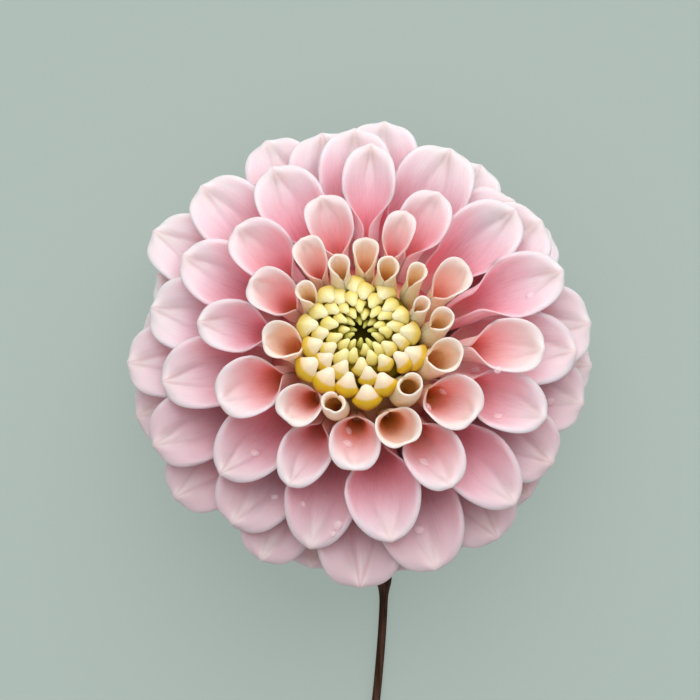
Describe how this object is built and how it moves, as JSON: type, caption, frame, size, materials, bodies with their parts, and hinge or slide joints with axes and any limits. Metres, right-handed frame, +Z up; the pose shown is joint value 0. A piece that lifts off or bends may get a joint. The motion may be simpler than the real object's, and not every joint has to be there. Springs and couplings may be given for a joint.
{
  "type": "pompon dahlia flower",
  "caption": "Cut dahlia bloom with rolled pink ray florets in spiral rows, peach quills, a domed yellow centre, a green calyx and a thin curved brown stem, lying on its back",
  "frame": {"origin": "centre of the bounding box's bottom, on the surface that the flower lies on", "axes": "+Y from the stem's cut end to the bloom, the longest way; +Z up, the way that the bloom faces; +X to the right seen from above"},
  "size_m": [0.098, 0.1886, 0.0535],
  "materials": {
    "petals": "soft satin petal, pale pink rims and deep coral base",
    "quills": "soft satin petal, peach with pale rims",
    "centre": "waxy satin, yellow with cream tips",
    "calyx": "matte green leaf",
    "stem": "matte dark brown stalk"
  },
  "bodies": {
    "root": {"petals": "petals", "quills": "quills", "centre": "centre", "calyx": "calyx", "stem": "stem"}
  },
  "joints": []
}
